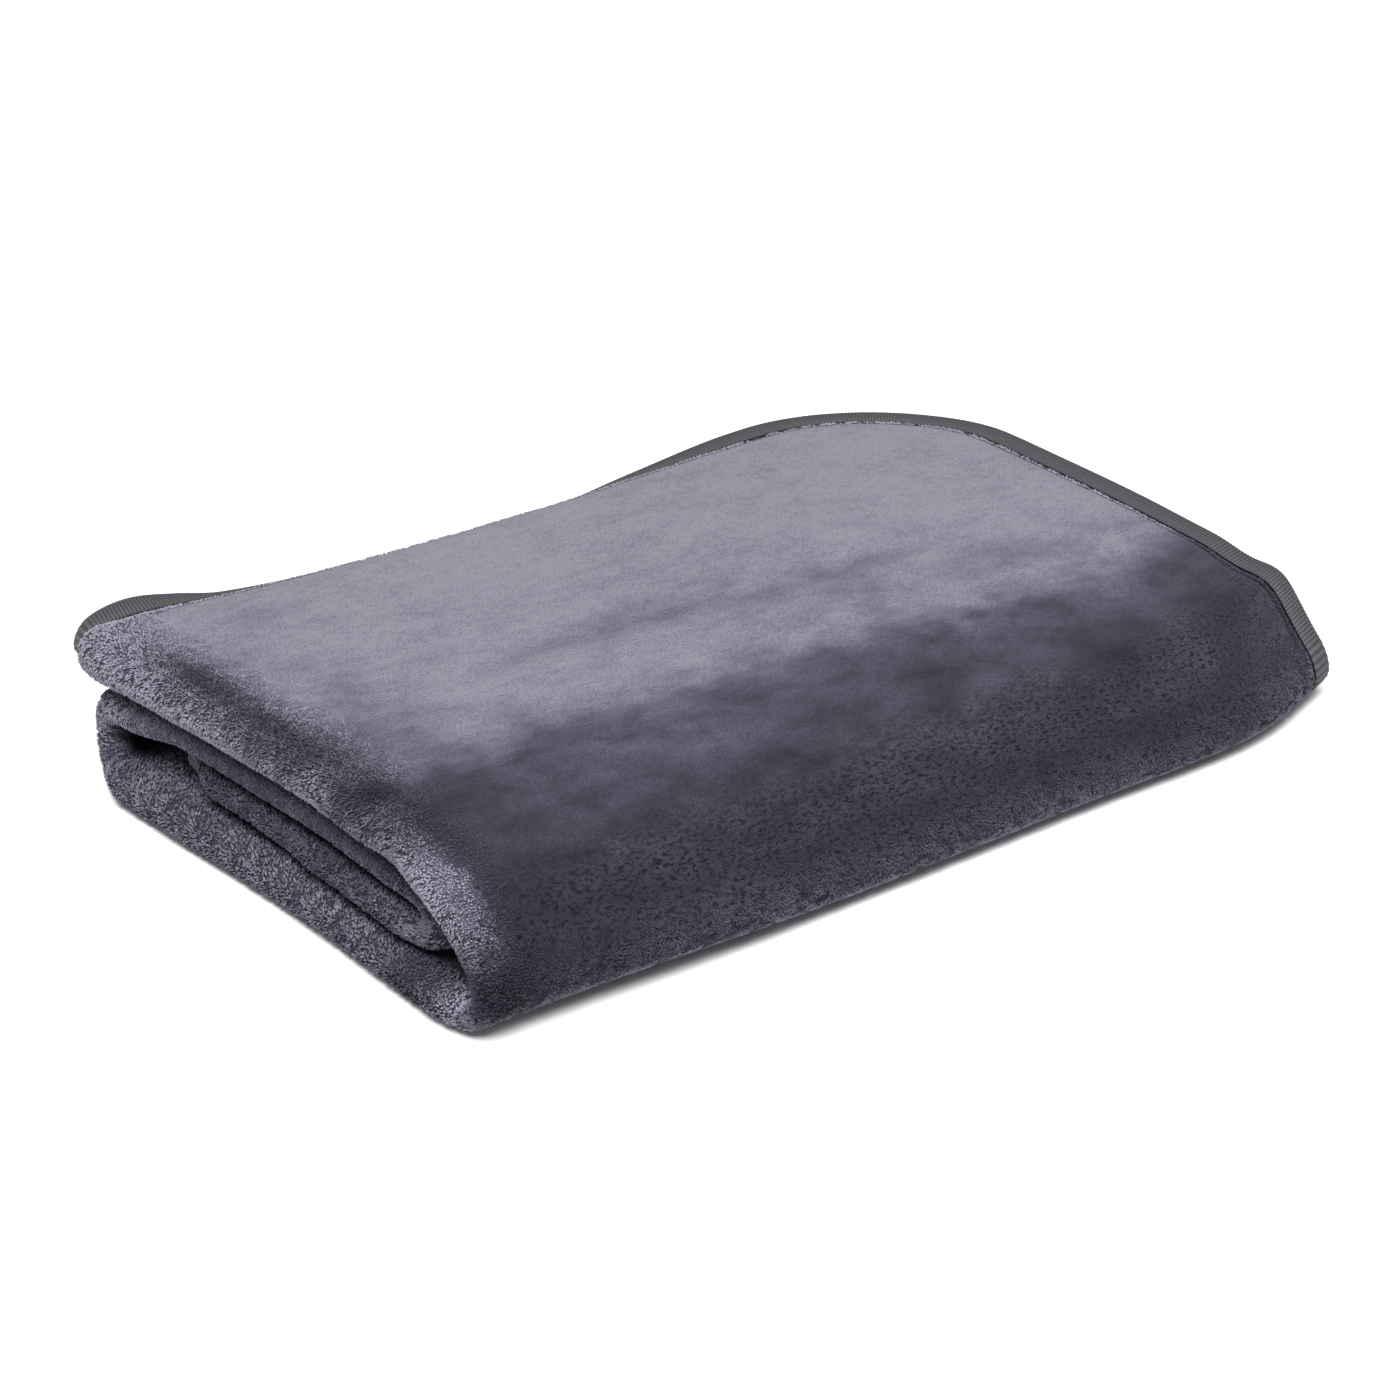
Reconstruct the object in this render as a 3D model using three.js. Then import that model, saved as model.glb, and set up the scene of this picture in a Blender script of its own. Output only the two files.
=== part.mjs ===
// A pet blanket of double-faced plush, bound all round with a folded tape, lying folded.
// It is folded once across, so every panel is two plies with a rounded lip at the left end and
// both bound edges at the right end. Then it is rolled over itself into four panels: the top
// panel, the bottom panel, a third panel between them and a free panel inside.
// Millimetres, +X along the folded length, +Y to the back, +Z up.

import * as THREE from "three";

// Driving sizes

const END_X = 375; // bound right edges, from the lip's centre at the left end
const BACK_Y = 236; // free back edge of the top panel, from the front of the front fold
const TOP_Z = 50; // middle of the doubled cloth in the top panel, above the floor
const CORNER_RADIUS = 75; // rounding of the blanket's four corners
const PLY_GAP = 0.6; // between the two plies
const LIP_HALF = 5.5; // length of cloth from the crown of the lip to where a ply lies flat

const EDGE_THICKNESS = 2.6; // cloth pressed flat inside the binding
const EDGE_SLOPE = 8; // from the pressed edge up to the full pile
const TAPE_WIDTH = 11; // how far the folded tape reaches in from the edge
const TAPE_THICKNESS = 0.7;
const TAPE_CLEARANCE = 0.5;

const TAPE_ROUND = 0.4; // share of the tape's thickness that stays upright at its fold

const BLEND = 10; // half thickness and tuck change over this length each side of a joint
const RISE_LENGTH = 44; // a panel comes to its height over its first part
const HANG_LENGTH = 30; // the stretch of the top panel that hangs over the back fold

// How far the front fold stands out, the height where it does most and how quickly it fades
// above and below, at the lip and from LEAN_CHANGE on. It fades from one depth to the other.
const LEAN_LIP = { out: 9, height: 25, spread: 13 };
const LEAN_BEYOND = { out: 5, height: 8, spread: 12 };
const LEAN_CHANGE = 150;
const LEAN_FROM = 12;
const LEAN_TO = 44;

// The course of the doubled cloth, seen from its end, from the free back edge of the top panel
// round to the free end inside. A panel runs to its y at its z. A fold turns to its z in three
// stretches: round the first radius to its slope in degrees, straight on, and round the second
// radius until it runs back. half is half the thickness of the doubled cloth, tuck is how far its
// lip is drawn in, and rows is how finely it is cut: the free end has only the edge's own rows.
const COURSE = [
  { name: "top panel", y: 45.5, z: 50, half: 6.8, tuck: 0, rows: 4 },
  { name: "front fold", z: 7.6, slope: 50, first: 40, second: 6.8, half: 5.1, tuck: 0, rows: 16 },
  { name: "bottom panel", y: 206, z: 7.6, half: 7.6, tuck: -0.8, rows: 6 },
  { name: "back fold", z: 33.2, slope: 90, first: 10.6, second: 10.6, half: 6, tuck: 1.6, rows: 10 },
  { name: "third panel", y: 150, z: 37, half: 5.2, tuck: 3, rows: 4 },
  { name: "its front part", y: 36.5, z: 36.4, half: 5.5, tuck: 3, rows: 6 },
  { name: "inner fold", z: 22.6, slope: 50, first: 9.5, second: 6.1, half: 5.4, tuck: 4, rows: 7 },
  { name: "free panel", y: 97, z: 22.6, half: 5.6, tuck: 1.5, rows: 3 },
  { name: "its free end", y: 172, z: 24.4, half: 5.4, tuck: 3.5, rows: 0 },
];

// Share of the full height that the stack reaches at each depth, at the lip, half way along and
// at the bound end. The front slopes down, more so towards the bound end.
const CROWN = [
  { y: -10, lip: 0.98, middle: 0.95, end: 1.04 },
  { y: 10, lip: 0.97, middle: 0.93, end: 1 },
  { y: 30, lip: 0.95, middle: 0.92, end: 0.83 },
  { y: 50, lip: 0.96, middle: 0.95, end: 0.845 },
  { y: 90, lip: 1, middle: 0.99, end: 0.92 },
  { y: 133, lip: 1, middle: 1.01, end: 0.98 },
  { y: 170, lip: 1, middle: 1.01, end: 1.02 },
  { y: 205, lip: 0.99, middle: 1, end: 1.01 },
  { y: 250, lip: 0.98, middle: 1, end: 1 },
];

// How far the front bulges forwards along its length, and the lip outwards along its depth.
const FRONT_BULGE = [
  { x: -8, out: -0.5 },
  { x: 30, out: 0.5 },
  { x: 90, out: 2.8 },
  { x: 160, out: 5.5 },
  { x: 243, out: 7.6 },
  { x: 292, out: 10 },
  { x: 318, out: 9.5 },
  { x: 340, out: 6 },
  { x: 360, out: 0 },
  { x: 376, out: -5 },
];
const FRONT_DEPTH = 120; // the bulge has died away this far back
const LIP_BULGE = [
  { y: -10, out: 2 },
  { y: 30, out: 1 },
  { y: 80, out: 0 },
  { y: 120, out: 1 },
  { y: 166, out: 3 },
  { y: 206, out: 4 },
  { y: 240, out: -4 },
];
const LIP_DEPTH = 60;

// How far the top panel's back edge hangs below its full height, along its length.
const HANG = [
  { x: -8, drop: 5 },
  { x: 4, drop: -0.3 },
  { x: 18, drop: -1.6 },
  { x: 36, drop: 1.5 },
  { x: 56, drop: 6 },
  { x: 120, drop: 12 },
  { x: 190, drop: 12 },
  { x: 240, drop: 6 },
  { x: 290, drop: 1 },
  { x: 376, drop: 0.5 },
];

// Distances from an edge at which the cloth has a row or column: the edge, both ends of the
// slope up to the full pile, half way in, and the end of the rounded corner.
const SLOPE_START = TAPE_WIDTH + 0.6;
const SLOPE_END = SLOPE_START + EDGE_SLOPE;
const HALF_WAY = (SLOPE_END + CORNER_RADIUS) / 2;
const EDGE_STEPS = [0, SLOPE_START, SLOPE_END, HALF_WAY, CORNER_RADIUS];
const LIP_COLUMNS = 3; // on each side of the lip's crown
const PLY_COLUMNS = 12; // between the lip and the edge's own columns

const PLUSH = { color: 0x7c7889, roughness: 0.95, metalness: 0 };
const GROSGRAIN = { color: 0x57575c, roughness: 0.85, metalness: 0 };

// Small functions

function smooth(share) {
  const t = Math.min(1, Math.max(0, share));
  return t * t * (3 - 2 * t);
}

// The value of a column at a key's value, on a smooth line through the table's rows.
function readTable(table, key, column, at) {
  const last = table.length - 1;
  const place = Math.min(table[last][key], Math.max(table[0][key], at));
  const found = Math.max(1, table.findIndex((row) => row[key] >= place)) - 1;
  const slope = (k) => {
    const a = table[Math.max(0, k - 1)];
    const b = table[Math.min(last, k + 1)];
    return (b[column] - a[column]) / (b[key] - a[key]);
  };
  const p = table[found];
  const q = table[found + 1];
  const span = q[key] - p[key];
  const t = (place - p[key]) / span;
  const rise = q[column] - p[column];
  const bendIn = slope(found) * span;
  const bendOut = slope(found + 1) * span;
  return (
    p[column] +
    bendIn * t +
    (3 * rise - 2 * bendIn - bendOut) * t * t +
    (bendIn + bendOut - 2 * rise) * t * t * t
  );
}

// The course with each row's start, its length and where it begins

const course = [];
let courseLength = 0;
let from = { y: BACK_Y, z: TOP_Z, heading: -1 };
for (const row of COURSE) {
  const piece = { ...row, from, start: courseLength };
  if (row.slope) {
    const slope = THREE.MathUtils.degToRad(row.slope);
    const turned = row.first * (1 - Math.cos(slope)) + row.second * (1 + Math.cos(slope));
    const straight = (Math.abs(row.z - from.z) - turned) / Math.sin(slope);
    const firstArc = row.first * slope;
    const length = firstArc + straight + row.second * (Math.PI - slope);
    Object.assign(piece, { slopeAngle: slope, straight, firstArc, length });
    const reach = (row.first - row.second) * Math.sin(slope) + straight * Math.cos(slope);
    from = { y: from.y + from.heading * reach, z: row.z, heading: -from.heading };
  } else {
    piece.length = Math.abs(row.y - from.y);
    from = { y: row.y, z: row.z, heading: from.heading };
  }
  course.push(piece);
  courseLength += piece.length;
}

// How far a fold has reached forwards and up or down after a run, and how far it has turned.
function foldReach(row, run) {
  const angle = row.slopeAngle;
  const onArc = Math.min(run, row.firstArc) / row.first;
  const onStraight = Math.min(row.straight, Math.max(0, run - row.firstArc));
  const turned = angle + Math.max(0, run - row.firstArc - row.straight) / row.second;
  const forwards = row.first * Math.sin(onArc) + onStraight * Math.cos(angle);
  const upright = row.first * (1 - Math.cos(onArc)) + onStraight * Math.sin(angle);
  return {
    forwards: forwards + row.second * (Math.sin(turned) - Math.sin(angle)),
    upright: upright + row.second * (Math.cos(angle) - Math.cos(turned)),
    turned: run < row.firstArc ? onArc : turned,
  };
}

// The middle of the doubled cloth at a length along the course, and its direction there.
function middleAt(along) {
  const row = course.findLast((r) => along >= r.start) ?? course[0];
  const run = along - row.start;
  const { heading } = row.from;
  const rise = row.z - row.from.z;
  if (row.slope) {
    const { forwards, upright, turned } = foldReach(row, run);
    return {
      y: row.from.y + heading * forwards,
      z: row.from.z + Math.sign(rise) * upright,
      dy: heading * Math.cos(turned),
      dz: Math.sign(rise) * Math.sin(turned),
    };
  }
  const share = Math.min(1, Math.max(0, run / RISE_LENGTH));
  const slope = (rise * 6 * share * (1 - share)) / RISE_LENGTH;
  const size = Math.hypot(1, slope);
  return {
    y: row.from.y + heading * run,
    z: row.from.z + rise * smooth(share),
    dy: heading / size,
    dz: slope / size,
  };
}

// A column of the course at a length along it, blended over the joints between rows.
function courseValue(column, along) {
  let value = course[0][column];
  for (let i = 1; i < course.length; i += 1) {
    const step = course[i][column] - course[i - 1][column];
    value += step * smooth((along - course[i].start + BLEND) / (2 * BLEND));
  }
  return value;
}

// The stack as it settles: crowned, lower at the front and the lip, its front fold leaning out
// low down, and the top panel's back edge hanging over the back fold.
function settle(x, y, z, along) {
  const t = x / END_X;
  const lip = (1 - t) * (1 - 2 * t);
  const middle = 4 * t * (1 - t);
  const end = t * (2 * t - 1);
  const crown =
    lip * readTable(CROWN, "y", "lip", y) +
    middle * readTable(CROWN, "y", "middle", y) +
    end * readTable(CROWN, "y", "end", y);
  const height = z * crown;
  const lean = (key) => {
    const beyond = smooth(x / LEAN_CHANGE);
    return LEAN_LIP[key] * (1 - beyond) + LEAN_BEYOND[key] * beyond;
  };
  const fade = Math.exp(-(((height - lean("height")) / lean("spread")) ** 2));
  const nearFront = 1 - smooth((y - LEAN_FROM) / (LEAN_TO - LEAN_FROM));
  const hanging = Math.max(0, 1 - along / HANG_LENGTH) ** 2;
  const nearLip = 1 - smooth(x / LIP_DEPTH);
  const forwards = readTable(FRONT_BULGE, "x", "out", x) * (1 - smooth(y / FRONT_DEPTH));
  return new THREE.Vector3(
    x + (courseValue("tuck", along) - readTable(LIP_BULGE, "y", "out", y)) * nearLip,
    y - lean("out") * fade * nearFront - forwards,
    height - readTable(HANG, "x", "drop", x) * hanging,
  );
}

// A point of the flat blanket, folded. across runs from one bound edge over the lip to the
// other, along is the length along the course, and off is the distance from the ply's middle,
// towards the outside of the fold at the lip.
function fold(across, along, off) {
  const middle = middleAt(along);
  const plyMiddle = (courseValue("half", along) + PLY_GAP / 2) / 2 + off;
  const beyondLip = Math.abs(across) - LIP_HALF;
  const turn = (Math.PI / 2) * Math.min(1, Math.max(-1, across / LIP_HALF));
  const x = beyondLip > 0 ? beyondLip : -plyMiddle * Math.cos(turn);
  const lift = plyMiddle * Math.sin(turn);
  return settle(x, middle.y + lift * middle.dz, middle.z - lift * middle.dy, along);
}

// Half the thickness of one ply at a distance from the blanket's edge.
function plyHalf(edgeDistance, along) {
  const full = (courseValue("half", along) - PLY_GAP / 2) / 2;
  const pressed = EDGE_THICKNESS / 2;
  return pressed + (full - pressed) * smooth((edgeDistance - TAPE_WIDTH) / EDGE_SLOPE);
}

// Rows and columns of the flat blanket

const halfWidth = LIP_HALF + END_X;
const firstRows = EDGE_STEPS.slice(0, -1);
const lastRows = EDGE_STEPS.slice(0, -1)
  .reverse()
  .map((step) => courseLength - step);
const rows = [...firstRows];
course.forEach((row, i) => {
  const low = i === 0 ? CORNER_RADIUS : row.start;
  const high = i === course.length - 1 ? courseLength - CORNER_RADIUS : row.start + row.length;
  for (let k = 0; k < row.rows; k += 1) rows.push(low + ((high - low) * k) / row.rows);
});
rows.push(courseLength - CORNER_RADIUS, ...lastRows);

const sideColumns = [];
for (let k = 1; k <= LIP_COLUMNS; k += 1) sideColumns.push((LIP_HALF * k) / LIP_COLUMNS);
const plyEnd = halfWidth - CORNER_RADIUS;
for (let k = 1; k <= PLY_COLUMNS; k += 1) {
  sideColumns.push(LIP_HALF + ((plyEnd - LIP_HALF) * k) / PLY_COLUMNS);
}
for (const step of EDGE_STEPS.slice(0, -1).reverse()) sideColumns.push(halfWidth - step);
const columns = [...sideColumns.map((c) => -c).reverse(), 0, ...sideColumns];

// A point of the square-cornered sheet, moved so that the corners are round: squares round each
// corner's centre become circles. edge is its distance from the rounded edge.
function roundCorner(across, along) {
  const mid = courseLength / 2;
  const sideways = Math.abs(across) - (halfWidth - CORNER_RADIUS);
  const lengthways = Math.abs(along - mid) - (mid - CORNER_RADIUS);
  const reach = Math.max(sideways, lengthways);
  if (Math.min(sideways, lengthways) <= 0) return { across, along, edge: CORNER_RADIUS - reach };
  const angle =
    sideways > lengthways
      ? ((lengthways / sideways) * Math.PI) / 4
      : Math.PI / 2 - ((sideways / lengthways) * Math.PI) / 4;
  return {
    across: Math.sign(across) * (halfWidth - CORNER_RADIUS + reach * Math.cos(angle)),
    along: mid + Math.sign(along - mid) * (mid - CORNER_RADIUS + reach * Math.sin(angle)),
    edge: CORNER_RADIUS - reach,
  };
}

// The blanket: a flat slab with a top and a bottom face, moved point by point into its folds

function blanketGeometry() {
  const across = columns.length - 1;
  const along = rows.length - 1;
  const slab = new THREE.BoxGeometry(along, across, 2, along, across, 1);
  const points = slab.getAttribute("position");
  for (let i = 0; i < points.count; i += 1) {
    const row = rows[Math.round(points.getX(i) + along / 2)];
    const column = columns[Math.round(points.getY(i) + across / 2)];
    const flat = roundCorner(column, row);
    const off = Math.sign(points.getZ(i)) * plyHalf(flat.edge, flat.along);
    const placed = fold(flat.across, flat.along, off);
    points.setXYZ(i, placed.x, placed.y, placed.z);
  }
  slab.computeVertexNormals();
  return slab;
}

// The binding: a closed ring with the section of a folded tape, its stations at the ends of the
// blanket's rows and columns

function bindingGeometry() {
  const inner = EDGE_THICKNESS / 2 + TAPE_CLEARANCE;
  const outer = inner + TAPE_THICKNESS;
  const foldEnd = TAPE_CLEARANCE + TAPE_THICKNESS;
  const section = [
    { out: -TAPE_WIDTH, off: -outer },
    { out: 0, off: -outer },
    { out: foldEnd, off: -TAPE_ROUND * outer },
    { out: foldEnd, off: TAPE_ROUND * outer },
    { out: 0, off: outer },
    { out: -TAPE_WIDTH, off: outer },
    { out: -TAPE_WIDTH, off: inner },
    { out: TAPE_CLEARANCE, off: inner },
    { out: TAPE_CLEARANCE, off: -inner },
    { out: -TAPE_WIDTH, off: -inner },
  ];
  const right = halfWidth;
  const stations = [
    ...columns.slice(0, -1).map((c) => [c, courseLength, 0, 1]),
    ...rows.slice(1).reverse().map((r) => [right, r, 1, 0]),
    ...columns.slice(1).reverse().map((c) => [c, 0, 0, -1]),
    ...rows.slice(0, -1).map((r) => [-right, r, -1, 0]),
  ];
  const ring = new THREE.TorusGeometry(1, 0.5, section.length, stations.length);
  const points = ring.getAttribute("position");
  const uv = ring.getAttribute("uv");
  for (let i = 0; i < points.count; i += 1) {
    const station = stations[Math.round(uv.getX(i) * stations.length) % stations.length];
    const { out, off } = section[Math.round(uv.getY(i) * section.length) % section.length];
    const edge = edgeStation(...station);
    const placed = fold(edge.across + out * edge.outAcross, edge.along + out * edge.outAlong, off);
    points.setXYZ(i, placed.x, placed.y, placed.z);
  }
  ring.computeVertexNormals();
  return ring;
}

// A station on the rounded edge with the direction out of the cloth there.
function edgeStation(across, along, sideOut, endOut) {
  const mid = courseLength / 2;
  const sideways = Math.abs(across) - (halfWidth - CORNER_RADIUS);
  const lengthways = Math.abs(along - mid) - (mid - CORNER_RADIUS);
  const at = roundCorner(across, along);
  if (Math.min(sideways, lengthways) <= 0) {
    return { across: at.across, along: at.along, outAcross: sideOut, outAlong: endOut };
  }
  const centreAcross = Math.sign(across) * (halfWidth - CORNER_RADIUS);
  const centreAlong = mid + Math.sign(along - mid) * (mid - CORNER_RADIUS);
  return {
    across: at.across,
    along: at.along,
    outAcross: (at.across - centreAcross) / CORNER_RADIUS,
    outAlong: (at.along - centreAlong) / CORNER_RADIUS,
  };
}

// The folded blanket, standing on the floor with its box centred on the origin

const blanket = new THREE.Mesh(blanketGeometry(), new THREE.MeshStandardMaterial(PLUSH));
blanket.name = "blanket";
const binding = new THREE.Mesh(bindingGeometry(), new THREE.MeshStandardMaterial(GROSGRAIN));
binding.name = "binding";

const petBlanket = new THREE.Group();
petBlanket.add(blanket, binding);
const centre = new THREE.Box3().setFromObject(petBlanket).getCenter(new THREE.Vector3());
petBlanket.position.set(-centre.x, -centre.y, 0);

export default petBlanket;
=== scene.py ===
# A pet blanket of double-faced plush, bound with a ribbed tape, lying folded: its looks.
# The cloth, its binding and its pile are made flat, in the blanket's own width and length, and
# moved point by point into the folds. Folding is worked out in millimetres, objects are in metres.

import math

import bmesh
import bpy
import numpy as np
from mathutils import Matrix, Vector


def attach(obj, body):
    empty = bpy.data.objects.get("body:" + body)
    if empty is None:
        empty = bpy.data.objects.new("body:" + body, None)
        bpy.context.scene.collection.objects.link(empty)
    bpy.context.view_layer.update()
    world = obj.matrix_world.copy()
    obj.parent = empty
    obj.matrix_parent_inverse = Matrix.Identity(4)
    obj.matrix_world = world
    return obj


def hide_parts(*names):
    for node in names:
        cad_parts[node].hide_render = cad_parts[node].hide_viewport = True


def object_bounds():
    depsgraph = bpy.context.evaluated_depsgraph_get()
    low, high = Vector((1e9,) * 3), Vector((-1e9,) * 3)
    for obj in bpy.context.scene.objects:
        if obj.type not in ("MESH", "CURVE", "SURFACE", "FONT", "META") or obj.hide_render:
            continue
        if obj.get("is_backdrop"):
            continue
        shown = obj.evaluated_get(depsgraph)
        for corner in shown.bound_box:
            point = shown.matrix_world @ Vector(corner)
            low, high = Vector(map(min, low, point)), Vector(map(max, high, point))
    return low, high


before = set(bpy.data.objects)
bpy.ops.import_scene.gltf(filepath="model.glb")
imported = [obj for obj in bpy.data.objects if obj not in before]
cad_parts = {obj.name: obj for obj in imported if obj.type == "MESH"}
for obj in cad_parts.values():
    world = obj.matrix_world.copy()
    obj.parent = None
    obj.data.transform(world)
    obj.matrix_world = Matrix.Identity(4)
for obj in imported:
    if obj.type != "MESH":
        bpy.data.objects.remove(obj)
cad_low, cad_high = (list(corner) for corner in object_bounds())

MM = 0.001

# Driving sizes, in millimetres, as in the solids but where a comment says otherwise

END_X = 375  # bound right edges, from the lip's centre at the left end
BACK_Y = 236  # free back edge of the top panel, from the front of the front fold
TOP_Z = 50  # middle of the doubled cloth in the top panel, above the floor
CORNER_RADIUS = 75  # rounding of the blanket's four corners
PLY_GAP = 0.6  # between the two plies
LIP_HALF = 5.5  # length of cloth from the crown of the lip to where a ply lies flat

EDGE_THICKNESS = 2.6  # cloth pressed flat inside the binding
EDGE_SLOPE = 3.5  # from the pressed edge up to the full pile, steeper than the solid's
TAPE_WIDTH = 11  # how far the folded tape reaches in from the edge
TAPE_THICKNESS = 0.7
TAPE_CLEARANCE = 0.5

BLEND = 10  # half thickness and tuck change over this length each side of a joint
RISE_LENGTH = 44  # a panel comes to its height over its first part
HANG_LENGTH = 30  # the stretch of the top panel that hangs over the back fold

# How far the front fold stands out, the height where it does most and how quickly it fades
# above and below, at the lip and from LEAN_CHANGE on. It fades from one depth to the other.
LEAN_LIP = {"out": 9, "height": 25, "spread": 13}
LEAN_BEYOND = {"out": 5, "height": 8, "spread": 12}
LEAN_CHANGE = 150
LEAN_FROM = 12
LEAN_TO = 44

FRONT_DEPTH = 120  # the front's uneven bulge fades over this depth
LIP_DEPTH = 60  # and the lip's over this length
END_TUCK = 8  # the free end lies this much deeper in the roll than the solid's
END_TUCK_LENGTH = 26
FLOOR_CLEAR = 0.05  # the lowest points stay this far above the floor


def table(columns, *rows):
    """Rows of numbers as named columns."""
    return dict(zip(columns.split(), np.array(rows, float).T))


# How much of its height the stack has over the depth, at the lip, halfway and at the bound ends
CROWN = table(
    "y lip middle end",
    (-10, 0.98, 0.95, 1.04),
    (10, 0.97, 0.93, 1.00),
    (30, 0.95, 0.92, 0.83),
    (50, 0.96, 0.95, 0.845),
    (90, 1.00, 0.99, 0.92),
    (133, 1.00, 1.01, 0.98),
    (170, 1.00, 1.01, 1.02),
    (205, 0.99, 1.00, 1.01),
    (250, 0.98, 1.00, 1.00),
)
# How far the front, the lip and the hanging back edge stray from straight
FRONT_BULGE = table(
    "x out",
    (-8, -0.5), (30, 0.5), (90, 2.8), (160, 5.5), (243, 7.6), (292, 10), (318, 9.5), (340, 6),
    (360, 0), (376, -5),
)
LIP_BULGE = table(
    "y out",
    (-10, 2), (30, 1), (80, 0), (120, 1), (166, 3), (206, 4), (240, -4),
)
HANG = table(
    "x drop",
    (-8, 5), (4, -0.3), (18, -1.6), (36, 1.5), (56, 6), (120, 12), (190, 12), (240, 6),
    (290, 1), (376, 0.5),
)

# The course of the doubled cloth round the folds. slope 0 is a panel, any other is a fold.
COURSE = table(
    "y z slope first second half tuck",
    (45.5, 50, 0, 0, 0, 6.8, 0),
    (0, 7.6, 50, 40, 6.8, 5.1, 0),
    (206, 7.6, 0, 0, 0, 7.6, -0.8),
    (0, 33.2, 90, 10.6, 10.6, 6, 1.6),
    (150, 37, 0, 0, 0, 5.2, 3),
    (36.5, 36.4, 0, 0, 0, 5.5, 3),
    (0, 22.6, 50, 9.5, 6.1, 5.4, 4),
    (97, 22.6, 0, 0, 0, 5.6, 1.5),
    (172, 24.4, 0, 0, 0, 5.4, 3.5),
)


def smooth(share):
    """0 below nought and 1 above one, with a soft change between."""
    t = np.clip(share, 0, 1)
    return t * t * (3 - 2 * t)


def read(rows, key, column, at):
    """A column's value where the key column has the value at, on a smooth line through the rows."""
    keys, values = rows[key], rows[column]
    last = len(keys) - 1
    slopes = np.empty(last + 1)
    for k in range(last + 1):
        before, after = max(0, k - 1), min(last, k + 1)
        slopes[k] = (values[after] - values[before]) / (keys[after] - keys[before])
    place = np.clip(at, keys[0], keys[-1])
    found = np.clip(np.searchsorted(keys, place), 1, last) - 1
    span = keys[found + 1] - keys[found]
    t = (place - keys[found]) / span
    rise = values[found + 1] - values[found]
    bend_in, bend_out = slopes[found] * span, slopes[found + 1] * span
    square = (3 * rise - 2 * bend_in - bend_out) * t * t
    cube = (bend_in + bend_out - 2 * rise) * t**3
    return values[found] + bend_in * t + square + cube


def lay_course():
    """Each row of the course with its start, heading and length."""
    course = []
    y, z, heading, start = BACK_Y, TOP_Z, -1, 0.0
    for i in range(len(COURSE["y"])):
        row = {column: values[i] for column, values in COURSE.items()}
        row.update(from_y=y, from_z=z, heading=heading, start=start, rise=row["z"] - z)
        if row["slope"]:
            angle = math.radians(row["slope"])
            first, second = row["first"], row["second"]
            turned = first * (1 - math.cos(angle)) + second * (1 + math.cos(angle))
            straight = (abs(row["rise"]) - turned) / math.sin(angle)
            length = first * angle + straight + second * (math.pi - angle)
            row.update(angle=angle, straight=straight, length=length)
            y += heading * ((first - second) * math.sin(angle) + straight * math.cos(angle))
            heading = -heading
        else:
            row["length"] = abs(row["y"] - y)
            y = row["y"]
        z = row["z"]
        start += row["length"]
        course.append(row)
    return course


course = lay_course()
starts = np.array([row["start"] for row in course])
course_length = starts[-1] + course[-1]["length"]
half_width = LIP_HALF + END_X


def middle_at(along):
    """The middle of the doubled cloth at lengths along the course, and its direction there."""
    y, z, dy, dz = (np.zeros_like(along) for _ in range(4))
    index = np.clip(np.searchsorted(starts, along, side="right") - 1, 0, len(course) - 1)
    for i, row in enumerate(course):
        here = index == i
        run = along[here] - row["start"]
        heading, rise = row["heading"], row["rise"]
        if row["slope"]:
            angle, first, second, straight = (
                row[key] for key in ("angle", "first", "second", "straight")
            )
            first_arc = first * angle
            on_arc = np.minimum(run, first_arc) / first
            on_straight = np.clip(run - first_arc, 0, straight)
            turned = angle + np.maximum(0, run - first_arc - straight) / second
            forwards = first * np.sin(on_arc) + on_straight * math.cos(angle)
            upright = first * (1 - np.cos(on_arc)) + on_straight * math.sin(angle)
            forwards += second * (np.sin(turned) - math.sin(angle))
            upright += second * (math.cos(angle) - np.cos(turned))
            way = np.where(run < first_arc, on_arc, turned)
            y[here] = row["from_y"] + heading * forwards
            z[here] = row["from_z"] + math.copysign(1, rise) * upright
            dy[here] = heading * np.cos(way)
            dz[here] = math.copysign(1, rise) * np.sin(way)
        else:
            share = np.clip(run / RISE_LENGTH, 0, 1)
            slope = rise * 6 * share * (1 - share) / RISE_LENGTH
            size = np.hypot(1, slope)
            y[here] = row["from_y"] + heading * run
            z[here] = row["from_z"] + rise * smooth(share)
            dy[here] = heading / size
            dz[here] = slope / size
    return y, z, dy, dz


def course_value(column, along):
    """A column of the course at lengths along it, changing softly from row to row."""
    value = np.full_like(along, course[0][column])
    for before, row in zip(course, course[1:]):
        step = row[column] - before[column]
        value += step * smooth((along - row["start"] + BLEND) / (2 * BLEND))
    return value


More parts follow.
